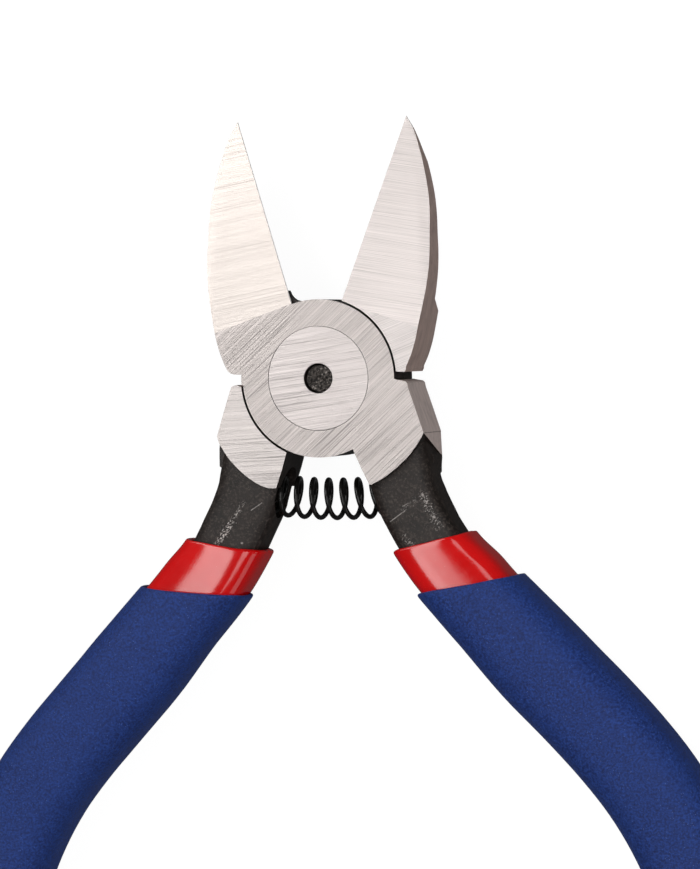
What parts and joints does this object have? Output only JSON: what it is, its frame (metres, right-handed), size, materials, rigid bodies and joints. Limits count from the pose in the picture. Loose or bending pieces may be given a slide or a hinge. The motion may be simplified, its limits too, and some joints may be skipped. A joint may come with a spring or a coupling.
{
  "type": "sprue nippers",
  "caption": "Flush-cut sprue nippers with a half-lap riveted pivot, coil return spring and red and blue dipped handle grips, shown open",
  "frame": {"origin": "on the pivot axis, in the plane of the head's flat back face", "axes": "+Z along the pivot axis, out of the flush front face; +Y towards the blade tips, between the open jaws; +X to the right seen from the front"},
  "size_m": [0.1291, 0.1417, 0.0126],
  "materials": {
    "front_lever_steel": "ground flat on the faces, black oxide on the handle bar",
    "back_lever_steel": "ground flat on the faces, black oxide on the handle bar",
    "pivot_steel": "ground flush with the head",
    "pin_black": "rough black oxide",
    "spring_wire": "glossy black spring wire",
    "red_sleeve": "glossy soft PVC",
    "blue_grip": "frosted, suede-like soft PVC with fine sparkle"
  },
  "bodies": {
    "back_half": {"back_lever": "back_lever_steel", "pivot_bush": "pivot_steel", "centre_pin": "pin_black", "left_inner_sleeve": "red_sleeve", "left_outer_grip": "blue_grip", "return_spring": "spring_wire"},
    "front_half": {"front_lever": "front_lever_steel", "right_inner_sleeve": "red_sleeve", "right_outer_grip": "blue_grip"}
  },
  "joints": [
    {"name": "jaw_hinge", "type": "hinge", "parent": "back_half", "child": "front_half", "pos_m": [0, 0, 0.0044], "axis": [0, 0, -1], "range_deg": [-4, 37.5], "stiffness_Nm_per_rad": 0.4, "deforming": ["return_spring"]}
  ]
}
